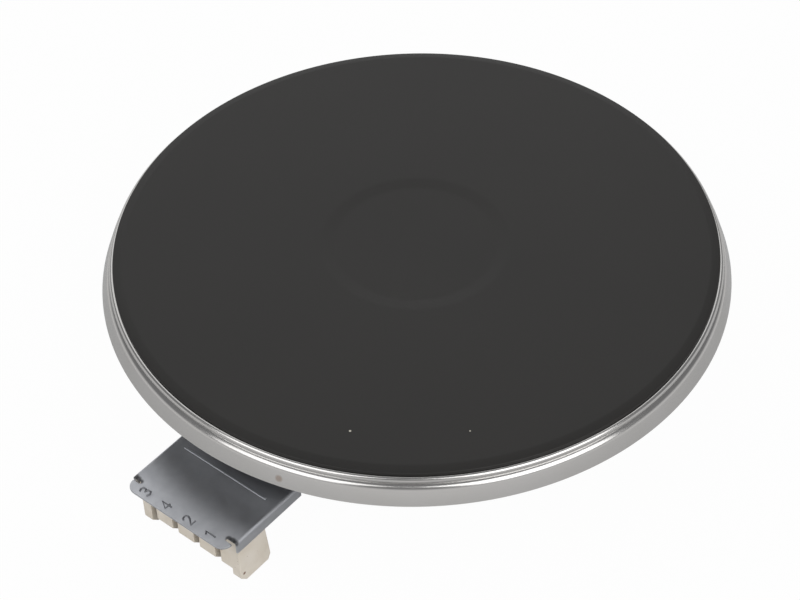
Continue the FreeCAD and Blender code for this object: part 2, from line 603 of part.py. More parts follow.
def terminal_block():
    """Ceramic block with four terminal chambers, open below, at their wire slots and at their slots behind."""
    body = doc.addObject("PartDesign::Body", "block_blank")
    sketch = body_sketch(body, "block_outline", "YZ_Plane", [
        ("-block_inner_reach", "bracket_under"), ("-block_reach", "bracket_under"),
        ("-block_reach", "block_chamfer_level"), ("-block_foot_outside", "block_foot"),
        ("-block_foot_inside", "block_foot"), ("-block_inner_foot", "block_chamfer_level"),
    ])
    pad = body.newObject("PartDesign::Pad", "block_pad")
    pad.Profile = sketch
    pad.SideType = "Symmetric"
    pad.setExpression("Length", "2 * Sizes.block_half")
    corner = [("-block_reach", "inner_chamfer_level"), ("-block_foot_outside", "wall_level"),
              ("-block_reach", "wall_level")]
    tools = [
        box("wall_shortening", "Sizes.inner_width", "2 * Sizes.block_reach", "Sizes.wall_step",
            z="Sizes.block_foot"),
        extruded("inner_chamfer", standing_sketch("inner_chamfer_outline", corner, "YZ", closed=True),
                 Vector(1, 0, 0), "Sizes.inner_width"),
    ]
    for pole in POLES:
        tools.append(box(f"chamber_{pole}", "Sizes.chamber_width", "Sizes.chamber_width", "Sizes.block_depth",
                         pole_place(pole), "-Sizes.screw_reach", "Sizes.chamber_level - Sizes.block_depth"))
        tools.append(box(f"wire_slot_{pole}", "Sizes.wire_slot", "2 * Sizes.front_wall", "Sizes.block_depth",
                         f"{pole_place(pole)} - (Sizes.chamber_width - Sizes.wire_slot) / 2",
                         "-Sizes.block_reach", "Sizes.chamber_level - Sizes.block_depth"))
        tools.append(box(f"contact_slot_{pole}", "Sizes.contact_width + 2 * Sizes.contact_play",
                         "Sizes.contact_length", "Sizes.contact_sheet + Sizes.contact_play", pole_place(pole),
                         "-Sizes.contact_middle", "Sizes.contact_level - Sizes.contact_play"))
        tools.append(box(f"screw_pocket_{pole}", "Sizes.relief_size", "Sizes.relief_size",
                         "Sizes.relief_depth + Sizes.contact_sheet", pole_place(pole), "-Sizes.screw_reach",
                         "Sizes.contact_level"))
    return cut("terminal_block", body, *tools)


def contact_bar(pole):
    """Contact bar of one terminal, with the thread of its screw."""
    bar = box(f"contact_blank_{pole}", "Sizes.contact_width", "Sizes.contact_length", "Sizes.contact_sheet",
              pole_place(pole), "-Sizes.contact_middle", "Sizes.contact_level")
    hole = cylinder(f"contact_hole_{pole}", "Sizes.screw_radius + Sizes.thread_gap", "3 * Sizes.contact_sheet",
                    pole_place(pole), "-Sizes.screw_reach", "Sizes.contact_level - Sizes.contact_sheet")
    return cut(f"contact_bar_{pole}", bar, hole)


def clamp_washer(pole):
    """Square washer that presses the customer's wire against the contact bar."""
    plate = box(f"clamp_plate_{pole}", "Sizes.clamp_size", "Sizes.clamp_size", "Sizes.clamp_sheet",
                pole_place(pole), "-Sizes.screw_reach", "Sizes.clamp_level")
    hole = cylinder(f"clamp_hole_{pole}", "Sizes.screw_radius + Sizes.hole_play", "3 * Sizes.clamp_sheet",
                    pole_place(pole), "-Sizes.screw_reach", "Sizes.clamp_level - Sizes.clamp_sheet")
    return cut(f"clamp_washer_{pole}", plate, hole)


def slotted_screw(label, length, x, y, level):
    """Cheese-head screw that points up, with the seat of its head at a level."""
    shank = cylinder(f"{label}_shank", "Sizes.screw_radius", length, x, y, level)
    head = cylinder(f"{label}_head", "Sizes.head_radius", "Sizes.head_height", x, y, f"{level} - Sizes.head_height")
    slot = box(f"{label}_slot", "3 * Sizes.head_radius", "Sizes.slot_width", "2 * Sizes.slot_depth", x, y,
               f"{level} - Sizes.head_height - Sizes.slot_depth")
    return cut(label, fused(f"{label}_blank", shank, head), slot)


def earth_nut():
    """Square nut inside the cover for the earth screw."""
    block = box("earth_nut_blank", "Sizes.earth_nut_size", "Sizes.earth_nut_size", "Sizes.earth_nut_height",
                y="-Sizes.earth_reach", z="Sizes.cover_floor")
    hole = cylinder("earth_nut_hole", "Sizes.screw_radius + Sizes.thread_gap", "3 * Sizes.earth_nut_height",
                    "0", "-Sizes.earth_reach", "Sizes.cover_floor - Sizes.earth_nut_height")
    return cut("earth_nut", block, hole)


def earth_hole(owner):
    """Cutter for the earth screw, through the cover's floor and the pad."""
    return cylinder(f"{owner}_earth_hole", "Sizes.screw_radius + Sizes.hole_play", "6 * Sizes.cover_sheet", "0",
                    "-Sizes.earth_reach", "Sizes.cover_floor - 4 * Sizes.cover_sheet")


def check(sub_parts):
    """Stop if an object failed or a sub-part isn't a sound solid."""
    for item in doc.Objects:
        if {"Invalid", "Error"} & set(item.State):
            raise RuntimeError(f"{item.Label} failed: {item.State}")
    for item in sub_parts:
        if item.Shape.isNull() or not item.Shape.isValid() or not item.Shape.Solids:
            raise RuntimeError(f"{item.Label} is not a sound solid")


def main():
    """Build every sub-part and write it under its own name."""
    coils = [heating_coil(name) for name in COILS]
    sub_parts = [
        hotplate_body(), spill_ring(), *coils, embedding_compound(coils), common_link(), bottom_cover(),
        lead_bush(), centre_stud(), stud_nut(), terminal_bracket(), terminal_block(), earth_nut(),
        slotted_screw("earth_screw", "Sizes.earth_screw_length", "0", "-Sizes.earth_reach", "Sizes.pad_under"),
    ]
    for pole in POLES:
        sub_parts += [
            lead(pole), contact_bar(pole), clamp_washer(pole),
            slotted_screw(f"terminal_screw_{pole}", "Sizes.screw_length", pole_place(pole), "-Sizes.screw_reach",
                          "Sizes.clamp_level"),
        ]
    doc.recompute()
    check(sub_parts)
    os.makedirs("parts", exist_ok=True)
    for item in sub_parts:
        item.Shape.exportStep(f"parts/{item.Label}.step")
        print(f"{item.Label}: {len(item.Shape.Solids)} solid, {item.Shape.Volume:.0f} cubic millimetres")


main()
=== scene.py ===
"""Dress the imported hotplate: matt coated iron, polished ring, zinc-coated bracket and cream ceramic."""
import logging
import math
from dataclasses import dataclass
from enum import Enum

import bmesh
import bpy
from mathutils import Matrix, Vector


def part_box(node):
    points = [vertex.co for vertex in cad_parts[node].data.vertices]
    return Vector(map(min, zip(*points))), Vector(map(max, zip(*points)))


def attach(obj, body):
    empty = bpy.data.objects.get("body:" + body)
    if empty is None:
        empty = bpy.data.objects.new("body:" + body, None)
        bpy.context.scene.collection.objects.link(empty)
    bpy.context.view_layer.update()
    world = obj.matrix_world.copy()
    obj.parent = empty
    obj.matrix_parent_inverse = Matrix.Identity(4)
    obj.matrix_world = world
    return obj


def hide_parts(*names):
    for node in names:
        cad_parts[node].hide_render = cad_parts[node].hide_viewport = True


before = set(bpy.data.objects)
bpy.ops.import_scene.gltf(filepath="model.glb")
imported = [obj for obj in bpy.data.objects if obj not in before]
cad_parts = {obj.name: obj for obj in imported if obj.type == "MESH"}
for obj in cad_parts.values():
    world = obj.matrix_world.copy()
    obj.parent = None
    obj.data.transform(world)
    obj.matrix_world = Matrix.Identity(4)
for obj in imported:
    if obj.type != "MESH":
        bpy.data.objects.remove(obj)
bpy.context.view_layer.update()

LOG = logging.getLogger("hotplate")
MM = 0.001
BODY = "root"
# Faces that meet at less than the first angle are one face, and edges sharper than the second are broken
FLAT_ANGLE = math.radians(2.0)
EDGE_ANGLE = math.radians(30.0)

Point = tuple[float, float]
Colour = tuple[float, float, float, float]
Socket = bpy.types.NodeSocket


def grey(value: float, red: float = 1.0, blue: float = 1.0) -> Colour:
    """Linear grey of one value, with its red and blue scaled."""
    return (value * red, value, value * blue, 1.0)


class Tree:
    """Short calls for the nodes of one material, whose patterns lie on object coordinates."""

    def __init__(self, name: str) -> None:
        """Start a material with one shader.

        Args:
            name: Name of the material.
        """
        self.material = bpy.data.materials.new(name)
        self.material.use_nodes = True
        self.nodes = self.material.node_tree.nodes
        self.links = self.material.node_tree.links
        self.nodes.clear()
        self.shader = self.nodes.new("ShaderNodeBsdfPrincipled")
        output = self.nodes.new("ShaderNodeOutputMaterial")
        self.links.new(self.shader.outputs[0], output.inputs[0])
        self.place = self.nodes.new("ShaderNodeTexCoord").outputs["Object"]

    def give(self, target: Socket, value: Socket | Colour | Vector | float) -> None:
        """Link a socket to the target, or set the target to a plain value."""
        if isinstance(value, bpy.types.NodeSocket):
            self.links.new(value, target)
        else:
            target.default_value = value

    def surface(self, **inputs: Socket | Colour | float) -> None:
        """Set the shader's inputs, whose names are written with underscores for spaces."""
        for name, value in inputs.items():
            self.give(self.shader.inputs[name.replace("_", " ")], value)

    def maths(self, operation: str, first: Socket | float, second: Socket | float = 0.0) -> Socket:
        """Result of one sum on two numbers."""
        node = self.nodes.new("ShaderNodeMath")
        node.operation = operation
        self.give(node.inputs[0], first)
        self.give(node.inputs[1], second)
        return node.outputs[0]

    def noise(self, size: float, detail: float = 3.0, vector: Socket | None = None) -> Socket:
        """Cloudy noise.

        Args:
            size: Size of its largest clouds, in millimetres.
            detail: Number of finer layers.
            vector: Coordinates to read, or the object's own.

        Returns:
            Value of about 0 to 1.
        """
        node = self.nodes.new("ShaderNodeTexNoise")
        self.give(node.inputs["Vector"], vector or self.place)
        node.inputs["Scale"].default_value = 1.0 / (size * MM)
        node.inputs["Detail"].default_value = detail
        return node.outputs[0]

    def grains(self, size: float) -> Socket:
        """Distance from the middles of cells of about one size in millimetres."""
        node = self.nodes.new("ShaderNodeTexVoronoi")
        self.give(node.inputs["Vector"], self.place)
        node.inputs["Scale"].default_value = 1.0 / (size * MM)
        return node.outputs["Distance"]

    def between(self, value: Socket, low: float, high: float, start: float = 0.0,
                stop: float = 1.0) -> Socket:
        """Stretch the span low to high of a value over start to stop."""
        node = self.nodes.new("ShaderNodeMapRange")
        for index, number in enumerate((low, high, start, stop), start=1):
            node.inputs[index].default_value = number
        self.give(node.inputs[0], value)
        return node.outputs[0]

    def blend(self, share: Socket | float, first: Socket | Colour, second: Socket | Colour) -> Socket:
        """Mix two colours by a share of 0 to 1."""
        node = self.nodes.new("ShaderNodeMix")
        node.data_type = "RGBA"
        self.give(node.inputs[0], share)
        self.give(node.inputs[6], first)
        self.give(node.inputs[7], second)
        return node.outputs[2]

    def relief(self, height: Socket, depth: float, strength: float = 1.0,
               below: Socket | None = None) -> Socket:
        """Bump of a height pattern.

        Args:
            height: Pattern of 0 to 1.
            depth: Depth of the pattern in millimetres.
            strength: Share of the effect.
            below: Normal of a coarser bump under this one.

        Returns:
            The bumped normal.
        """
        node = self.nodes.new("ShaderNodeBump")
        node.inputs["Strength"].default_value = strength
        node.inputs["Distance"].default_value = depth * MM
        self.give(node.inputs["Height"], height)
        if below is not None:
            self.give(node.inputs["Normal"], below)
        return node.outputs[0]

    def polar(self) -> tuple[Socket, Socket]:
        """Distance from the plate's axis, and level, in metres."""
        split = self.nodes.new("ShaderNodeSeparateXYZ")
        self.give(split.inputs[0], self.place)
        across, along, level = split.outputs
        squares = [self.maths("MULTIPLY", way, way) for way in (across, along)]
        return self.maths("SQRT", self.maths("ADD", *squares)), level

    def joined(self, first: Socket | float, second: Socket | float, third: Socket | float) -> Socket:
        """Vector of three numbers."""
        node = self.nodes.new("ShaderNodeCombineXYZ")
        for index, value in enumerate((first, second, third)):
            self.give(node.inputs[index], value)
        return node.outputs[0]

    def spot(self, x: float, y: float, z: float, radius: float) -> Socket:
        """Soft round mark of 1 in its middle and 0 outside, placed in millimetres."""
        node = self.nodes.new("ShaderNodeVectorMath")
        node.operation = "DISTANCE"
        self.give(node.inputs[0], self.place)
        node.inputs[1].default_value = (x * MM, y * MM, z * MM)
        return self.between(node.outputs["Value"], radius * MM, 0.5 * radius * MM)


@dataclass(frozen=True)
class Finish:
    """Look of one kind of surface."""

    name: str

    def make(self) -> bpy.types.Material:
        """Build the material."""
        raise NotImplementedError


@dataclass(frozen=True)
class CoatedIron(Finish):
    """Matt black heat-resisting coating on turned cast iron."""

    tone: float = 0.013
    turning_step: float = 0.35
    top: float = 11.7
    flecks: tuple[tuple[float, float, float], ...] = ((40.7, -84.9, 0.5), (72.2, -60.1, 0.35))
    dust: Colour = (0.525, 0.5, 0.425, 1.0)

    def make(self) -> bpy.types.Material:
        """Build the coating with its mottle, faint turning marks and a few flecks of dust."""
        tree = Tree(self.name)
        mottle = tree.between(tree.noise(0.9, 4.0), 0.35, 0.65)
        cloud = tree.between(tree.noise(60.0, 2.0), 0.3, 0.7)
        radius, level = tree.polar()
        rings = tree.noise(self.turning_step, 1.0, tree.joined(radius, level, 0.0))
        colour = tree.blend(mottle, grey(self.tone * 0.88, 1.06, 0.93), grey(self.tone * 1.12, 1.07, 0.92))
        colour = tree.blend(cloud, colour, grey(self.tone * 1.1, 1.07, 0.92))
        for x, y, size in self.flecks:
            colour = tree.blend(tree.spot(x, y, self.top, size), colour, self.dust)
        grain = tree.relief(tree.noise(0.25, 3.0), 0.02, 0.5)
        tree.surface(Base_Color=colour, Roughness=tree.between(mottle, 0.0, 1.0, 0.42, 0.50),
                     Normal=tree.relief(rings, 0.004, 0.4, grain), Specular_IOR_Level=0.28)
        return tree.material


@dataclass(frozen=True)
class PolishedStainless(Finish):
    """Rolled and polished stainless steel with fine lines round its axis."""

    tone: float = 0.50
    mark: tuple[float, float, float] = (30.3, -110.0, 2.8)
    mark_radius: float = 1.6
    mark_share: float = 0.5
    browned: Colour = (0.24, 0.15, 0.09, 1.0)

    def make(self) -> bpy.types.Material:
        """Build the metal with its polishing lines, faint clouds and a heat-browned spot at the foot."""
        tree = Tree(self.name)
        radius, level = tree.polar()
        lines = tree.noise(0.12, 2.0, tree.joined(radius, level, 0.0))
        cloud = tree.between(tree.noise(25.0, 2.0), 0.3, 0.7)
        colour = tree.blend(cloud, grey(self.tone, 1.02, 0.98), grey(self.tone * 0.96, 1.02, 0.97))
        mark = tree.maths("MULTIPLY", tree.spot(*self.mark, self.mark_radius), self.mark_share)
        colour = tree.blend(mark, colour, self.browned)
        wear = tree.between(tree.noise(6.0, 2.0), 0.3, 0.8)
        tree.surface(Base_Color=colour, Metallic=1.0, Roughness=tree.between(wear, 0.0, 1.0, 0.17, 0.21),
                     Normal=tree.relief(lines, 0.002, 0.3))
        return tree.material


@dataclass(frozen=True)
class ZincSheet(Finish):
    """Galvanised sheet steel with faint spangle, fine scratches and near-black spots of painted shade by the
    notches.
    """

    tone: float = 0.50
    level: float = -20.0
    # Places and radii of the spots of painted shade by the bracket's notches, in millimetres
    notch_shade_spots: tuple[tuple[float, float, float], ...] = (
        (-23.6, -126.5, 1.7), (-22.0, -126.7, 1.5), (-20.4, -127.0, 1.3),
        (20.6, -126.7, 1.4), (22.2, -126.6, 1.6), (23.8, -127.0, 1.9))

    def make(self) -> bpy.types.Material:
        """Build the metal with its grains, cloudy oxide and fine scratches."""
        tree = Tree(self.name)
        oxide = tree.between(tree.noise(5.0, 5.0), 0.35, 0.7)
        colour = tree.blend(oxide, grey(self.tone, 0.98, 1.05), grey(self.tone * 0.9, 0.98, 1.06))
        tint = tree.between(tree.grains(3.2), 0.0, 1.0, 0.0, 0.12)
        colour = tree.blend(tint, colour, grey(self.tone * 1.2, 0.99, 1.03))
        # Near-black spots by the notches are painted shade, where the notch walls lie in shadow
        for x, y, radius in self.notch_shade_spots:
            notch_shade = tree.maths("MULTIPLY", tree.spot(x, y, self.level, radius), 0.8)
            colour = tree.blend(notch_shade, colour, grey(0.03))
        rolling = tree.nodes.new("ShaderNodeMapping")
        rolling.inputs["Scale"].default_value = (1.0, 0.06, 1.0)
        tree.give(rolling.inputs["Vector"], tree.place)
        scratches = tree.noise(0.16, 2.0, rolling.outputs[0])
        tree.surface(Base_Color=colour, Metallic=1.0, Roughness=tree.between(oxide, 0.0, 1.0, 0.42, 0.50),
                     Normal=tree.relief(scratches, 0.004, 0.4))
        return tree.material


class Ware(Enum):
    """The two grades of technical ceramic, each with its colour."""

    BLOCK = (0.790, 0.725, 0.635, 1.0)
    BUSH = (0.720, 0.690, 0.620, 1.0)


@dataclass(frozen=True)
class Steatite(Finish):
    """Unglazed pressed ceramic."""

    ware: Ware = Ware.BLOCK
    dark_spots: tuple[tuple[float, float, float, float], ...] = ()
    speck: Colour = (0.30, 0.21, 0.14, 1.0)
    dark_spot_colour: Colour = (0.22, 0.12, 0.08, 1.0)

    def make(self) -> bpy.types.Material:
        """Build the ceramic with its grain, its paler and browner patches and a few dark specks."""
        tree = Tree(self.name)
        patch = tree.between(tree.noise(9.0, 3.0), 0.3, 0.7)
        red, green, blue, _ = self.ware.value
        colour = tree.blend(patch, self.ware.value, (red * 0.90, green * 0.88, blue * 0.84, 1.0))
        specks = tree.between(tree.grains(2.6), 0.10, 0.05)
        colour = tree.blend(tree.maths("MULTIPLY", specks, 0.6), colour, self.speck)
        # Small dark brown spots painted at set places on the ceramic
        for x, y, z, radius in self.dark_spots:
            colour = tree.blend(tree.spot(x, y, z, radius), colour, self.dark_spot_colour)
        grain = tree.relief(tree.noise(0.35, 3.0), 0.03, 0.6)
        tree.surface(Base_Color=colour, Roughness=tree.between(patch, 0.0, 1.0, 0.48, 0.62), Normal=grain,
                     Specular_IOR_Level=0.4)
        return tree.material


class Plating(Enum):
    """Small metal parts' colours, with the roughness each has."""

    ZINC = (0.56, 0.56, 0.54, 0.30)
    NICKEL = (0.56, 0.53, 0.48, 0.34)
    BRASS = (0.60, 0.46, 0.22, 0.36)
    ALUMINISED = (0.40, 0.405, 0.41, 0.45)
    OXIDISED = (0.20, 0.19, 0.18, 0.55)


@dataclass(frozen=True)
class PlatedMetal(Finish):
    """Plated or rolled metal of small parts and of the cover."""

    plating: Plating = Plating.ZINC
    cloud_size: float = 2.0

    def make(self) -> bpy.types.Material:
        """Build the metal with its clouds and fine rolling marks."""
        tree = Tree(self.name)
        red, green, blue, roughness = self.plating.value
        cloud = tree.between(tree.noise(self.cloud_size, 4.0), 0.3, 0.7)
        colour = tree.blend(cloud, (red, green, blue, 1.0), (red * 0.8, green * 0.79, blue * 0.78, 1.0))
        marks = tree.relief(tree.noise(0.15, 3.0), 0.006, 0.5)
        tree.surface(Base_Color=colour, Metallic=1.0, Normal=marks,
                     Roughness=tree.between(cloud, 0.0, 1.0, roughness, roughness + 0.12))
        return tree.material


@dataclass(frozen=True)
class PressedPowder(Finish):
    """Insulating powder pressed hard round the coils."""

    def make(self) -> bpy.types.Material:
        """Build the matt surface with its grain."""
        tree = Tree(self.name)
        grain = tree.noise(0.4, 5.0)
        colour = tree.blend(tree.between(grain, 0.3, 0.7), grey(0.38, 1.04, 0.92), grey(0.27, 1.05, 0.88))
        tree.surface(Base_Color=colour, Roughness=0.92, Normal=tree.relief(grain, 0.12, 0.7))
        return tree.material


def rounded(corners: list[tuple[float, float, float]], closed: bool = True, steps: int = 5) -> list[Point]:
    """Replace each corner of a line by an arc.

    Args:
        corners: Place of each corner and the radius of its arc, in millimetres.
        closed: Whether the last corner joins the first.
        steps: Number of straight runs in each arc.

    Returns:
        Points along the line.
    """
    points: list[Point] = []
    for index, (x, z, radius) in enumerate(corners):
        inner = closed or 0 < index < len(corners) - 1
        if radius <= 0.0 or not inner:
            points.append((x, z))
            continue
        here = Vector((x, z))
        back = (Vector(corners[index - 1][:2]) - here).normalized()
        on = (Vector(corners[(index + 1) % len(corners)][:2]) - here).normalized()
        half = back.angle(on) / 2.0
        centre = here + (back + on).normalized() * radius / math.sin(half)
        first = here + back * radius / math.tan(half) - centre
        last = here + on * radius / math.tan(half) - centre
        start = math.atan2(first.y, first.x)
        sweep = (math.atan2(last.y, last.x) - start + math.pi) % (2.0 * math.pi) - math.pi
        for step in range(steps + 1):
            angle = start + sweep * step / steps
            points.append((centre.x + radius * math.cos(angle), centre.y + radius * math.sin(angle)))
    return points


def arc(centre: Point, radius: float, start: float, stop: float, steps: int) -> list[Point]:
    """Points on an arc from one angle to another, in degrees from the first axis."""
    angles = [math.radians(start + (stop - start) * step / steps) for step in range(steps + 1)]
    return [(centre[0] + radius * math.cos(angle), centre[1] + radius * math.sin(angle)) for angle in angles]


def thickened(line: list[Point], sheet: float) -> list[Point]:
    """Outline of a sheet with one face on a line and its thickness to the right of the way along it."""
    back: list[Point] = []
    for index, here in enumerate(line):
        ways = []
        for first, second in ((index - 1, index), (index, index + 1)):
            if 0 <= first and second < len(line):
                way = (Vector(line[second]) - Vector(line[first])).normalized()
                ways.append(Vector((way.y, -way.x)))
        normal = (ways[0] + ways[-1]).normalized()
        offset = normal * sheet / max(normal.dot(ways[0]), 0.3)
        back.append((here[0] + offset.x, here[1] + offset.y))
    return line + back[::-1]


def as_object(name: str, shape: bmesh.types.BMesh, sharp: float = 35.0) -> bpy.types.Object:
    """Turn a shape into an object in the scene, smooth but for its sharp edges.

    Args:
        name: Name of the piece.
        shape: Shape in metres, which is freed.
        sharp: Smallest angle of an edge that stays sharp, in degrees.

    Returns:
        The new object.
    """
    mesh = bpy.data.meshes.new(name)
    shape.to_mesh(mesh)
    shape.free()
    mesh.polygons.foreach_set("use_smooth", [True] * len(mesh.polygons))
    mesh.set_sharp_from_angle(angle=math.radians(sharp))
    piece = bpy.data.objects.new(name, mesh)
    bpy.context.scene.collection.objects.link(piece)
    return piece


def lathe(name: str, outline: list[Point], segments: int = 256,
          place: Point = (0.0, 0.0)) -> bpy.types.Object:
    """Turn a closed outline round an upright axis.

    Args:
        name: Name of the piece.
        outline: Radius and level of each point, in millimetres.
        segments: Number of steps round the axis.
        place: Where the axis stands, in millimetres.

    Returns:
        The new object.
    """
    shape = bmesh.new()
    rings: list[list[bmesh.types.BMVert]] = []
    for radius, level in outline:
        if radius < 1e-6:
            rings.append([shape.verts.new((place[0] * MM, place[1] * MM, level * MM))])
            continue
        ring = []
        for step in range(segments):
            angle = 2.0 * math.pi * step / segments
            ring.append(shape.verts.new(((place[0] + radius * math.cos(angle)) * MM,
                                         (place[1] + radius * math.sin(angle)) * MM, level * MM)))
        rings.append(ring)
    for first, second in zip(rings, rings[1:] + rings[:1]):
        if len(first) == 1 and len(second) == 1:
            continue
        for step in range(segments):
            after = (step + 1) % segments
            corners = [first[step % len(first)], first[after % len(first)],
                       second[after % len(second)], second[step % len(second)]]
            shape.faces.new(list(dict.fromkeys(corners)))
    bmesh.ops.recalc_face_normals(shape, faces=shape.faces)
    return as_object(name, shape)


def eased(node: str, name: str, width: float) -> bpy.types.Object:
    """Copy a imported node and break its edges.

    Args:
        node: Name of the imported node.
        name: Name of the new piece.
        width: Width of the broken edge in millimetres.

    Returns:
        The new object.
    """
    shape = bmesh.new()
    shape.from_mesh(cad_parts[node].data)
    bmesh.ops.remove_doubles(shape, verts=shape.verts, dist=2e-6)
    bmesh.ops.dissolve_limit(shape, angle_limit=FLAT_ANGLE, verts=shape.verts, edges=shape.edges)
    edges = [edge for edge in shape.edges
             if len(edge.link_faces) == 2 and edge.calc_face_angle(0.0) > EDGE_ANGLE]
    bmesh.ops.bevel(shape, geom=edges, offset=width * MM, segments=2, profile=0.5, affect="EDGES",
                    clamp_overlap=True)
    piece = as_object(name, shape, 50.0)
    flat = piece.modifiers.new("flat_faces", "WEIGHTED_NORMAL")
    flat.keep_sharp = True
    return bake(piece)


def bake(piece: bpy.types.Object) -> bpy.types.Object:
    """Apply a piece's modifiers to its mesh."""
    graph = bpy.context.evaluated_depsgraph_get()
    mesh = bpy.data.meshes.new_from_object(piece.evaluated_get(graph))
    old = piece.data
    piece.modifiers.clear()
    piece.data = mesh
    bpy.data.meshes.remove(old)
    mesh.name = piece.name
    return piece


def seat(piece: bpy.types.Object, slot: str, material: bpy.types.Material,
         *nodes: str) -> bpy.types.Object:
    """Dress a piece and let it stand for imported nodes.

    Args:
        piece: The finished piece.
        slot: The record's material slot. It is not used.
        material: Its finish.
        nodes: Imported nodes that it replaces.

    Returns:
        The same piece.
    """
    piece.data.materials.clear()
    piece.data.materials.append(material)
    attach(piece, BODY)
    if nodes:
        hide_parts(*nodes)
    return piece


def dress(node: str, material: bpy.types.Material) -> bpy.types.Object:
    """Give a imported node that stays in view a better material."""
    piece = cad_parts[node]
    for slot in piece.material_slots:
        slot.material = material
    return piece


@dataclass
class SubAssembly:
    """Pieces that are made and dressed together."""

    def build(self) -> list[bpy.types.Object]:
        """Make the pieces."""
        raise NotImplementedError


@dataclass
class CastPlate(SubAssembly):
    """The iron casting with its lowered centre, bevel, rims and boss."""

    centre: tuple[float, float] = (29.6, 11.2)
    flat: tuple[float, float] = (34.6, 11.7)
    bevel: tuple[float, float] = (106.8, 110.2)
    edge: tuple[float, float] = (11.1, 9.85)
    seat_radius: float = 107.9
    neck: tuple[float, float] = (107.2, -6.0)
    rim_inside: float = 102.8
    roof: float = 7.1
    inner_rim: tuple[float, float, float] = (34.5, 30.5, -2.4)
    centre_roof: float = 5.6
    boss: tuple[float, float] = (9.5, -5.0)
    bore: tuple[float, float] = (4.05, 3.0)

    def outline(self) -> list[Point]:
        """Half section of the casting, with its edges broken as the coating leaves them."""
        rim, toe, depth = self.inner_rim
        return rounded([
            (0.0, self.centre[1], 0.0), (*self.centre, 20.0), (*self.flat, 20.0),
            (self.bevel[0], self.flat[1], 5.0), (self.bevel[1], self.edge[0], 0.55),
            (self.bevel[1], self.edge[1], 0.3),
            (self.seat_radius, self.edge[1], 0.1), (self.seat_radius, 0.0, 0.1), (self.neck[0], 0.0, 0.1),
            (*self.neck, 0.5), (self.rim_inside, self.neck[1], 0.5), (self.rim_inside, self.roof, 1.0),
            (rim, self.roof, 1.0), (rim, depth, 0.5), (toe, depth, 0.5), (toe, self.centre_roof, 1.0),
            (self.boss[0], self.centre_roof, 1.0), (*self.boss, 0.4), (self.bore[0], self.boss[1], 0.2),
            (*self.bore, 0.0), (0.0, self.bore[1], 0.0),
        ])

    def build(self) -> list[bpy.types.Object]:
        """Turn the casting and coat it."""
        coating = CoatedIron("matt_coated_iron")
        return [seat(lathe("cast_plate", self.outline(), 320), "cast_iron", coating.make(), "hotplate_body")]


@dataclass
class SpillRing(SubAssembly):
    """The polished ring: gripped flange, rolled bead, waist and flared skirt."""

    flange: float = 107.95
    land: float = 9.85
    bead_middle: float = 110.4
    bead_radius: float = 1.35
    bead_end: float = -50.0
    shoulder: tuple[float, float] = (111.2, 7.25)
    skirt_top: tuple[float, float] = (112.7, 6.6)
    foot: float = 115.0
    sheet: float = 0.5

    def outline(self) -> list[Point]:
        """Section of the ring's sheet."""
        middle = (self.bead_middle, self.land - self.bead_radius)
        line = [(self.flange, self.land), *arc(middle, self.bead_radius, 90.0, self.bead_end, 14)]
        skirt = rounded([
            (*line[-1], 0.0), (*self.shoulder, 0.12), (*self.skirt_top, 2.5), (self.foot, 0.0, 0.0),
        ], closed=False)
        outline = thickened(line + skirt[1:], self.sheet)
        return [(radius, max(level, 0.0)) for radius, level in outline]

    def build(self) -> list[bpy.types.Object]:
        """Roll the ring and polish it."""
        ring = lathe("spill_ring_sheet", self.outline(), 384)
        return [seat(ring, "stainless", PolishedStainless("polished_stainless").make(), "spill_ring")]


@dataclass
class Cover(SubAssembly):
    """The pressed cover below the plate, with its dimple and the window for the ceramic bush."""

    rim: tuple[float, float] = (105.4, -6.0)
    floor: tuple[float, float] = (102.8, -12.6)
    dimple: tuple[float, float] = (31.0, -12.6)
    dimple_seat: tuple[float, float] = (15.0, -5.0)
    hole: float = 4.3
    sheet: float = 0.6
    window: tuple[float, float, float] = (38.5, 7.9, -68.0)

    def build(self) -> list[bpy.types.Object]:
        """Press the cover and cut its window."""
        line = rounded([(*self.rim, 0.0), (*self.floor, 2.2), (*self.dimple, 6.0), (*self.dimple_seat, 4.0),
                        (self.hole, self.dimple_seat[1], 0.0)], closed=False)
        outline = [(radius, min(level, self.rim[1]) if radius > 90.0 else level)
                   for radius, level in thickened(line, -self.sheet)]
        cover = lathe("bottom_cover_pressing", outline)
        cutter_shape = bmesh.new()
        bmesh.ops.create_cube(cutter_shape, size=MM)
        width, depth, y = self.window
        bmesh.ops.transform(cutter_shape, verts=cutter_shape.verts,
                            matrix=Matrix.Translation((0.0, y * MM, self.floor[1] * MM))
                            @ Matrix.Diagonal((width, depth, 8.0, 1.0)))
        cutter = as_object("window_cutter", cutter_shape)
        boolean = cover.modifiers.new("window", "BOOLEAN")
        boolean.object = cutter
        boolean.operation = "DIFFERENCE"
        bake(cover)
        bpy.data.objects.remove(cutter)
        finish = PlatedMetal("aluminised_cover", Plating.ALUMINISED, 14.0)
        return [seat(cover, "cover_sheet", finish.make(), "bottom_cover")]


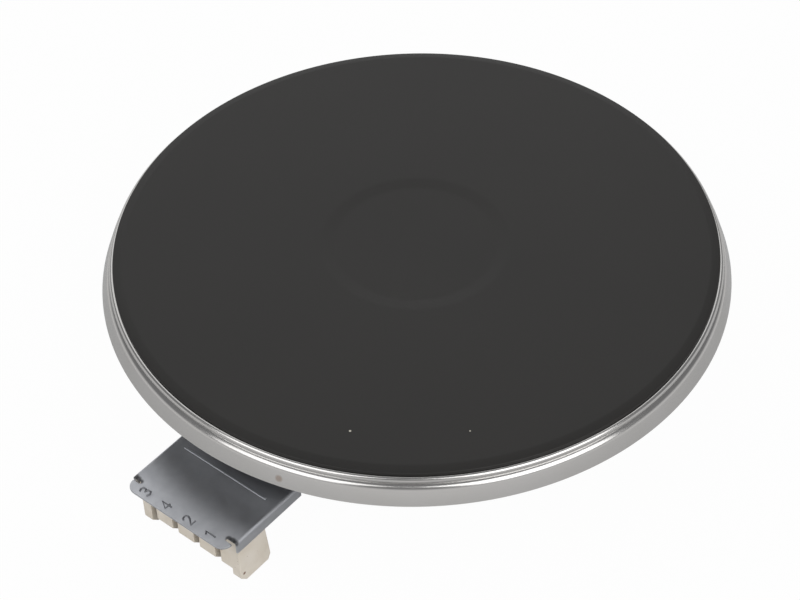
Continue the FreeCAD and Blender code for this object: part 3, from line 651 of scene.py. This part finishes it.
@dataclass
class CentreFixing(SubAssembly):
    """The threaded stud and its hexagon nut."""

    stud_radius: float = 4.0
    pitch: float = 1.25
    thread_depth: float = 0.6
    thread: tuple[float, float] = (-35.3, -13.3)
    relief_radius: float = 3.4
    nut: tuple[float, float] = (-12.1, -5.6)
    nut_flats: float = 13.0
    top: float = 3.0
    steps: int = 40
    rows_per_turn: int = 6
    run_out: float = 0.8
    end_share: float = 0.82

    @staticmethod
    def corner(shape: bmesh.types.BMesh, radius: float, turn: float, level: float) -> bmesh.types.BMVert:
        """New corner of a shape at a radius, a share of a turn and a level."""
        angle = 2.0 * math.pi * turn
        return shape.verts.new((radius * math.cos(angle) * MM, radius * math.sin(angle) * MM, level * MM))

    def threaded(self) -> bpy.types.Object:
        """Rod with a true helical thread below a plain neck."""
        low, high = self.thread
        rows = int((high - low) / self.pitch * self.rows_per_turn)
        shape = bmesh.new()
        rings = []
        for row in range(rows + 1):
            level = low + (high - low) * row / rows
            fade = min(1.0, (level - low) / self.run_out, (high - level) / self.run_out)
            ring = []
            for step in range(self.steps):
                turn = step / self.steps
                phase = ((level - low) / self.pitch - turn) % 1.0
                radius = self.stud_radius - self.thread_depth * (1.0 - fade * (1.0 - abs(2.0 * phase - 1.0)))
                ring.append(self.corner(shape, radius, turn, level))
            rings.append(ring)
        for radius, level in ((self.relief_radius, self.nut[0]), (self.stud_radius, self.nut[0]),
                              (self.stud_radius, self.top)):
            rings.append([self.corner(shape, radius, step / self.steps, level) for step in range(self.steps)])
        for first, second in zip(rings, rings[1:]):
            for step in range(self.steps):
                after = (step + 1) % self.steps
                shape.faces.new((first[step], first[after], second[after], second[step]))
        end = [shape.verts.new((vert.co.x * self.end_share, vert.co.y * self.end_share,
                                (low - self.run_out) * MM)) for vert in rings[0]]
        for step in range(self.steps):
            after = (step + 1) % self.steps
            shape.faces.new((end[step], end[after], rings[0][after], rings[0][step]))
        shape.faces.new(end)
        shape.faces.new(rings[-1])
        bmesh.ops.recalc_face_normals(shape, faces=shape.faces)
        return as_object("centre_stud_thread", shape, 30.0)

    def build(self) -> list[bpy.types.Object]:
        """Cut the thread and ease the nut."""
        zinc = PlatedMetal("zinc_plated_steel", Plating.ZINC, 2.0).make()
        nut = eased("stud_nut", "centre_nut", 0.35)
        return [
            seat(self.threaded(), "plated_steel", zinc, "centre_stud"),
            seat(nut, "plated_steel", zinc, "stud_nut"),
        ]


class Numeral(Enum):
    """Strokes of the plain pole numbers, in a cell one unit high and 0.6 wide."""

    ONE = ((0.12, 0.78), (0.34, 1.0), (0.34, 0.0))
    TWO = ((0.04, 0.78), (0.14, 0.95), (0.32, 1.0), (0.5, 0.93), (0.56, 0.74), (0.46, 0.5), (0.04, 0.0),
           (0.58, 0.0))
    THREE = ((0.05, 0.88), (0.28, 1.0), (0.52, 0.88), (0.5, 0.62), (0.26, 0.53), (0.54, 0.42), (0.56, 0.14),
             (0.3, 0.0), (0.03, 0.12))
    FOUR = ((0.42, 0.0), (0.42, 1.0), (0.02, 0.32), (0.6, 0.32))


@dataclass
class TerminalBracket(SubAssembly):
    """The folded bracket with its crease and the raised pole numbers."""

    level: float = -20.0
    crease_place: float = -105.8
    crease_ends: tuple[float, float] = (-19.3, 18.0)
    crease_height: float = 0.36
    number_row: float = -130.6
    number_height: float = 4.3
    stroke: float = 0.36
    crease_half: float = 0.55
    number_share: float = 1.1
    numbers: tuple[tuple[Numeral, float], ...] = (
        (Numeral.THREE, -16.0), (Numeral.FOUR, -6.2), (Numeral.TWO, 4.4), (Numeral.ONE, 14.5))

    def ridge(self, name: str, strokes: list[list[Vector]], radius: float,
              height: float) -> bpy.types.Object:
        """Rounded ridge along lines on the bracket's face.

        Args:
            name: Name of the piece.
            strokes: Points of each line, in millimetres.
            radius: Half width of the ridge in millimetres.
            height: Height of the ridge as a share of its half width.

        Returns:
            The ridge as a mesh.
        """
        curve = bpy.data.curves.new(name, "CURVE")
        curve.dimensions = "3D"
        curve.bevel_depth = radius * MM
        curve.bevel_resolution = 3
        curve.use_fill_caps = True
        for stroke in strokes:
            spline = curve.splines.new("POLY")
            spline.points.add(len(stroke) - 1)
            for point, place in zip(spline.points, stroke):
                point.co = (place.x * MM, place.y * MM, 0.0, 1.0)
        holder = bpy.data.objects.new(name, curve)
        bpy.context.scene.collection.objects.link(holder)
        graph = bpy.context.evaluated_depsgraph_get()
        mesh = bpy.data.meshes.new_from_object(holder.evaluated_get(graph))
        bpy.data.objects.remove(holder)
        shape = bmesh.new()
        shape.from_mesh(mesh)
        bpy.data.meshes.remove(mesh)
        bmesh.ops.remove_doubles(shape, verts=shape.verts, dist=1e-6)
        bmesh.ops.transform(shape, verts=shape.verts, matrix=Matrix.Translation((0.0, 0.0, self.level * MM))
                            @ Matrix.Diagonal((1.0, 1.0, height, 1.0)))
        bmesh.ops.recalc_face_normals(shape, faces=shape.faces)
        return as_object(name, shape, 60.0)

    def strokes(self) -> list[list[Vector]]:
        """Lines of the numbers, which lie on their sides with their tops towards -X."""
        size = self.number_height
        return [[Vector((place + (0.5 - up) * size, self.number_row + across * size, 0.0))
                 for across, up in numeral.value] for numeral, place in self.numbers]

    def build(self) -> list[bpy.types.Object]:
        """Ease the folded sheet, and raise its crease and its numbers."""
        zinc = ZincSheet("galvanised_sheet").make()
        crease_line = [Vector((end, self.crease_place, 0.0)) for end in self.crease_ends]
        sheet = seat(eased("terminal_bracket", "bracket_sheet", 0.12), "galvanised", zinc,
                     "terminal_bracket")
        crease = seat(self.ridge("bracket_crease", [crease_line], self.crease_half, self.crease_height),
                      "galvanised", zinc)
        # The raised numbers get a darker zinc: painted shade that stands for the shaded sides of their
        # pressed strokes
        numbers_painted_shade = ZincSheet("numbers_painted_shade_zinc", tone=0.22, notch_shade_spots=()).make()
        numbers = seat(self.ridge("pole_numbers", self.strokes(), self.stroke, self.number_share),
                       "galvanised", numbers_painted_shade)
        return [sheet, crease, numbers]


@dataclass
class TerminalBlock(SubAssembly):
    """The ceramic block with its contact bars."""

    edge: float = 0.55
    poles: int = 4
    # Places and radii of the small dark brown spots painted on the block, in millimetres
    dark_spots: tuple[tuple[float, float, float, float], ...] = (
        (23.2, -123.7, -39.9, 0.8), (14.6, -125.4, -31.5, 0.8))

    def build(self) -> list[bpy.types.Object]:
        """Press the block and lay its contact bars in."""
        block = eased("terminal_block", "ceramic_block", self.edge)
        steatite = Steatite("block_steatite", dark_spots=self.dark_spots)
        pieces = [seat(block, "block_ceramic", steatite.make(), "terminal_block")]
        brass = PlatedMetal("rolled_brass", Plating.BRASS, 3.0).make()
        pieces += [dress(f"contact_bar_{pole}", brass) for pole in range(1, self.poles + 1)]
        return pieces


@dataclass
class TerminalScrews(SubAssembly):
    """The row of slotted screws with their square washers, repeated by a node tree."""

    count: int = 4
    shank: float = 2.0
    head_edge: float = 0.45
    tip_edge: float = 0.4
    slot: tuple[float, float] = (0.9, 1.0)
    slot_turn: float = 24.0

    @staticmethod
    def millimetres(node: str) -> tuple[Vector, Vector]:
        """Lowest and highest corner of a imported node."""
        low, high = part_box(node)
        return Vector(low) / MM, Vector(high) / MM

    def step(self) -> float:
        """Way from one pole to the next along X."""
        return self.millimetres("terminal_screw_2")[0].x - self.millimetres("terminal_screw_1")[0].x

    def row_tree(self) -> bpy.types.GeometryNodeTree:
        """Node tree that repeats the incoming shape along a line."""
        tree = bpy.data.node_groups.new("repeat_in_a_row", "GeometryNodeTree")
        face = tree.interface
        face.new_socket("Shape", in_out="INPUT", socket_type="NodeSocketGeometry")
        face.new_socket("Count", in_out="INPUT", socket_type="NodeSocketInt")
        face.new_socket("Step", in_out="INPUT", socket_type="NodeSocketVector")
        face.new_socket("Finish", in_out="INPUT", socket_type="NodeSocketMaterial")
        face.new_socket("Shape", in_out="OUTPUT", socket_type="NodeSocketGeometry")
        given = tree.nodes.new("NodeGroupInput")
        result = tree.nodes.new("NodeGroupOutput")
        line = tree.nodes.new("GeometryNodeMeshLine")
        line.mode = "OFFSET"
        copies = tree.nodes.new("GeometryNodeInstanceOnPoints")
        real = tree.nodes.new("GeometryNodeRealizeInstances")
        coat = tree.nodes.new("GeometryNodeSetMaterial")
        join = tree.links.new
        join(given.outputs["Count"], line.inputs["Count"])
        join(given.outputs["Step"], line.inputs["Offset"])
        join(line.outputs[0], copies.inputs["Points"])
        join(given.outputs["Shape"], copies.inputs["Instance"])
        join(copies.outputs[0], real.inputs[0])
        join(real.outputs[0], coat.inputs["Geometry"])
        join(given.outputs["Finish"], coat.inputs["Material"])
        join(coat.outputs[0], result.inputs[0])
        return tree

    def repeated(self, piece: bpy.types.Object, finish: bpy.types.Material) -> bpy.types.Object:
        """Repeat a piece along the row and make the result a plain mesh."""
        tree = self.row_tree()
        modifier = piece.modifiers.new("row", "NODES")
        modifier.node_group = tree
        values = {"Count": self.count, "Step": (self.step() * MM, 0.0, 0.0), "Finish": finish}
        for item in tree.interface.items_tree:
            if item.in_out == "INPUT" and item.name in values:
                modifier[item.identifier] = values[item.name]
        return bake(piece)

    def screw(self) -> bpy.types.Object:
        """One slotted screw at the first pole, its head downwards."""
        low, high = self.millimetres("terminal_screw_1")
        seat_level = self.millimetres("clamp_washer_1")[0].z
        middle = (low + high) / 2.0
        radius = (high.x - low.x) / 2.0
        outline = rounded([
            (0.0, low.z, 0.0), (radius, low.z, self.head_edge), (radius, seat_level, 0.15),
            (self.shank, seat_level, 0.0), (self.shank, high.z - self.tip_edge, 0.0),
            (self.shank - self.tip_edge, high.z, 0.0), (0.0, high.z, 0.0),
        ], steps=3)
        piece = lathe("terminal_screw_row", outline, 32, (middle.x, middle.y))
        cutter_shape = bmesh.new()
        bmesh.ops.create_cube(cutter_shape, size=MM)
        width, depth = self.slot
        bmesh.ops.transform(cutter_shape, verts=cutter_shape.verts,
                            matrix=Matrix.Translation((middle.x * MM, middle.y * MM, low.z * MM))
                            @ Matrix.Rotation(math.radians(self.slot_turn), 4, "Z")
                            @ Matrix.Diagonal((3.0 * radius, width, 2.0 * depth, 1.0)))
        cutter = as_object("slot_cutter", cutter_shape)
        boolean = piece.modifiers.new("slot", "BOOLEAN")
        boolean.object = cutter
        bake(piece)
        bpy.data.objects.remove(cutter)
        return piece

    def build(self) -> list[bpy.types.Object]:
        """Make one screw and one washer, and repeat them over the poles."""
        zinc = PlatedMetal("zinc_plated_terminals", Plating.ZINC, 1.5).make()
        screws = self.repeated(self.screw(), zinc)
        washers = self.repeated(eased("clamp_washer_1", "clamp_washer_row", 0.15), zinc)
        poles = range(1, self.count + 1)
        return [
            seat(screws, "plated_steel", zinc, *[f"terminal_screw_{pole}" for pole in poles]),
            seat(washers, "plated_steel", zinc, *[f"clamp_washer_{pole}" for pole in poles]),
        ]


@dataclass
class Wiring(SubAssembly):
    """Leads, their ceramic bush, the common link and the earth screw."""

    poles: int = 4

    def build(self) -> list[bpy.types.Object]:
        """Dress the leads, and ease the bush and the earth screw."""
        nickel = PlatedMetal("nickel_strip", Plating.NICKEL, 4.0).make()
        zinc = PlatedMetal("zinc_plated_screw", Plating.ZINC, 1.5).make()
        pieces = [dress(f"lead_{pole}", nickel) for pole in range(1, self.poles + 1)]
        pieces.append(dress("common_link", nickel))
        pieces.append(dress("earth_nut", zinc))
        pieces.append(seat(eased("lead_bush", "ceramic_bush", 0.25), "bush_ceramic",
                           Steatite("bush_steatite", Ware.BUSH).make(), "lead_bush"))
        pieces.append(seat(eased("earth_screw", "earth_screw_head", 0.2), "plated_steel", zinc,
                           "earth_screw"))
        return pieces


@dataclass
class Heating(SubAssembly):
    """The three coils in their pressed powder."""

    coils: tuple[str, ...] = ("inner", "middle", "outer")

    def build(self) -> list[bpy.types.Object]:
        """Dress the coils and the powder."""
        wire = PlatedMetal("oxidised_wire", Plating.OXIDISED, 1.0).make()
        pieces = [dress(f"heating_coil_{coil}", wire) for coil in self.coils]
        pieces.append(dress("embedding_compound", PressedPowder("pressed_powder").make()))
        return pieces


@dataclass
class Studio:
    """Camera at the photograph's place, pale floor, soft lamps and a plain sky."""

    eye: tuple[float, float, float] = (373.536, -445.163, 561.824)
    right: tuple[float, float, float] = (0.77318527, 0.63378395, -0.02241529)
    up: tuple[float, float, float] = (-0.4356102, 0.55644682, 0.70753847)
    ahead: tuple[float, float, float] = (-0.46089944, 0.537294, -0.70631924)
    lens: float = 99.0
    sensor: float = 36.0
    floor_level: float = -44.5
    floor_size: float = 6.0
    paper: Colour = (0.62, 0.62, 0.62, 1.0)
    paper_glow: float = 0.975
    near_glow: float = 0.05
    far_paper: tuple[float, float] = (0.18, 0.70)
    horizon: tuple[float, float] = (0.06, 0.45)
    sky: tuple[float, float] = (0.75, 0.28)
    lamps: tuple[tuple[str, float, float, float, float], ...] = (
        ("left_softbox", -97.0, 42.0, 1.7, 19.0), ("right_softbox", -10.0, 42.0, 1.9, 29.0),
        ("back_softbox", 136.0, 47.0, 2.6, 19.0))
    lamp_distance: float = 2.4

    def camera(self) -> None:
        """Place the camera."""
        data = bpy.data.cameras.new("studio_camera")
        data.lens = self.lens
        data.sensor_width = self.sensor
        data.clip_start = 0.01
        data.clip_end = 50.0
        camera = bpy.data.objects.new("studio_camera", data)
        turn = Matrix((self.right, self.up, tuple(-part for part in self.ahead))).transposed().to_4x4()
        camera.matrix_world = Matrix.Translation(Vector(self.eye) * MM) @ turn
        bpy.context.scene.collection.objects.link(camera)
        bpy.context.scene.camera = camera

    def lamp(self, name: str, azimuth: float, height: float, size: float, power: float) -> None:
        """Hang a square soft lamp that points at the object.

        Args:
            name: Name of the lamp.
            azimuth: Its direction on the floor, in degrees from +X.
            height: Its direction above the floor, in degrees.
            size: Length of its side in metres.
            power: Its power in watts.
        """
        data = bpy.data.lights.new(name, "AREA")
        data.size = size
        data.energy = power
        turn, rise = math.radians(azimuth), math.radians(height)
        way = Vector((math.cos(turn) * math.cos(rise), math.sin(turn) * math.cos(rise), math.sin(rise)))
        lamp = bpy.data.objects.new(name, data)
        lamp.location = way * self.lamp_distance
        lamp.rotation_euler = (-way).to_track_quat("-Z", "Y").to_euler()
        bpy.context.scene.collection.objects.link(lamp)

    def floor(self) -> None:
        """Lay the pale floor, which the camera sees nearly white, and which is clear from below."""
        shape = bmesh.new()
        bmesh.ops.create_grid(shape, x_segments=1, y_segments=1, size=self.floor_size)
        bmesh.ops.translate(shape, verts=shape.verts, vec=(0.0, 0.0, self.floor_level * MM))
        floor = as_object("studio_floor", shape)
        tree = Tree("white_paper_floor")
        tree.surface(Base_Color=self.paper, Roughness=0.9, Specular_IOR_Level=0.2)
        glow = tree.nodes.new("ShaderNodeEmission")
        path = tree.nodes.new("ShaderNodeLightPath")
        mix = tree.nodes.new("ShaderNodeMixShader")
        gloss = tree.maths("MAXIMUM", path.outputs["Is Glossy Ray"], path.outputs["Is Transmission Ray"])
        seen = tree.maths("MULTIPLY", path.outputs["Is Camera Ray"], self.paper_glow)
        distance = tree.polar()[0]
        far = tree.between(distance, *self.far_paper, self.near_glow, self.paper_glow)
        share = tree.maths("MAXIMUM", seen, tree.maths("MULTIPLY", gloss, far))
        tree.give(mix.inputs[0], share)
        tree.links.new(tree.shader.outputs[0], mix.inputs[1])
        tree.links.new(glow.outputs[0], mix.inputs[2])
        clear = tree.nodes.new("ShaderNodeMixShader")
        tree.give(clear.inputs[0], tree.nodes.new("ShaderNodeNewGeometry").outputs["Backfacing"])
        tree.links.new(mix.outputs[0], clear.inputs[1])
        tree.links.new(tree.nodes.new("ShaderNodeBsdfTransparent").outputs[0], clear.inputs[2])
        output = next(node for node in tree.nodes if node.type == "OUTPUT_MATERIAL")
        tree.links.new(clear.outputs[0], output.inputs[0])
        floor.data.materials.append(tree.material)

    def room(self) -> None:
        """Surround the object with a room, pale at the horizon and dimmer above, and white to the camera."""
        world = bpy.data.worlds.new("studio_room")
        bpy.context.scene.world = world
        world.use_nodes = True
        nodes, links = world.node_tree.nodes, world.node_tree.links
        nodes.clear()
        output = nodes.new("ShaderNodeOutputWorld")
        mix = nodes.new("ShaderNodeMixShader")
        path = nodes.new("ShaderNodeLightPath")
        split = nodes.new("ShaderNodeSeparateXYZ")
        links.new(nodes.new("ShaderNodeTexCoord").outputs["Generated"], split.inputs[0])

        def fade(low: float, high: float) -> Socket:
            """Value that goes from low at the horizon to high above it."""
            node = nodes.new("ShaderNodeMapRange")
            node.interpolation_type = "SMOOTHSTEP"
            for index, number in enumerate((*self.horizon, low, high), start=1):
                node.inputs[index].default_value = number
            links.new(split.outputs[2], node.inputs[0])
            return node.outputs[0]

        def maths(operation: str, first: Socket, second: Socket) -> Socket:
            """Result of one sum on two sockets."""
            node = nodes.new("ShaderNodeMath")
            node.operation = operation
            links.new(first, node.inputs[0])
            links.new(second, node.inputs[1])
            return node.outputs[0]

        soft = nodes.new("ShaderNodeBackground")
        soft.inputs[0].default_value = (0.97, 0.98, 1.0, 1.0)
        links.new(fade(*self.sky), soft.inputs[1])
        white = nodes.new("ShaderNodeBackground")
        gloss = maths("MAXIMUM", path.outputs["Is Glossy Ray"], path.outputs["Is Transmission Ray"])
        links.new(maths("MAXIMUM", path.outputs["Is Camera Ray"], maths("MULTIPLY", gloss, fade(1.0, 0.0))),
                  mix.inputs[0])
        links.new(soft.outputs[0], mix.inputs[1])
        links.new(white.outputs[0], mix.inputs[2])
        links.new(mix.outputs[0], output.inputs[0])

    def build(self) -> None:
        """Set up the whole studio."""
        bpy.context.scene.view_settings.view_transform = "Standard"
        self.camera()
        self.floor()
        self.room()
        for lamp in self.lamps:
            self.lamp(*lamp)


def main() -> None:
    """Build every sub-assembly and report its pieces."""
    logging.basicConfig(level=logging.INFO, format="%(name)s: %(message)s")
    assemblies: list[SubAssembly] = [
        CastPlate(), SpillRing(), Cover(), CentreFixing(), TerminalBracket(), TerminalBlock(),
        TerminalScrews(), Wiring(), Heating(),
    ]
    for assembly in assemblies:
        for piece in assembly.build():
            LOG.info("%s: %s", type(assembly).__name__, piece.name)
    Studio().build()


if __name__ == "__main__":
    main()
